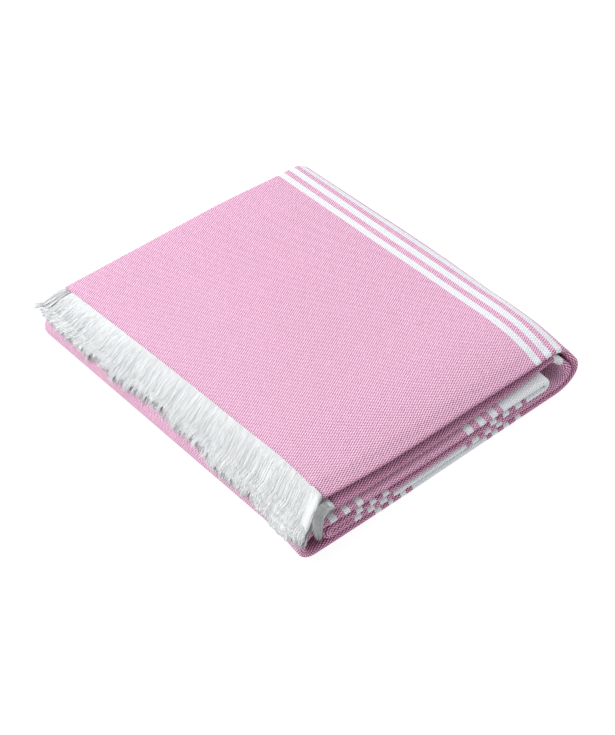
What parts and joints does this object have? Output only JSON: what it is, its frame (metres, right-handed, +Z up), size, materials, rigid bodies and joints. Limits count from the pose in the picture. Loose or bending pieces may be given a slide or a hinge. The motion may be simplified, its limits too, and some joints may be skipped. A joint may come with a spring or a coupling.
{
  "type": "folded beach blanket",
  "caption": "Flat-woven cotton beach blanket with woven stripes and fringed short ends, folded into a soft flat stack.",
  "frame": {"origin": "middle of the flat underside, half way across the folded width", "axes": "+X along the cloth's length, from the fringed side to the striped fold; +Y from the side with the rounded folds to the side with the selvedges; +Z up"},
  "size_m": [0.3287, 0.359, 0.0537],
  "materials": {
    "pink_cloth": "matt cotton twill, light pink with white weft stripes",
    "white_yarn": "matt white cotton yarn, loose and untwisted"
  },
  "bodies": {
    "root": {"cloth": "pink_cloth", "fringe_upper": "white_yarn", "fringe_lower": "white_yarn"}
  },
  "joints": []
}
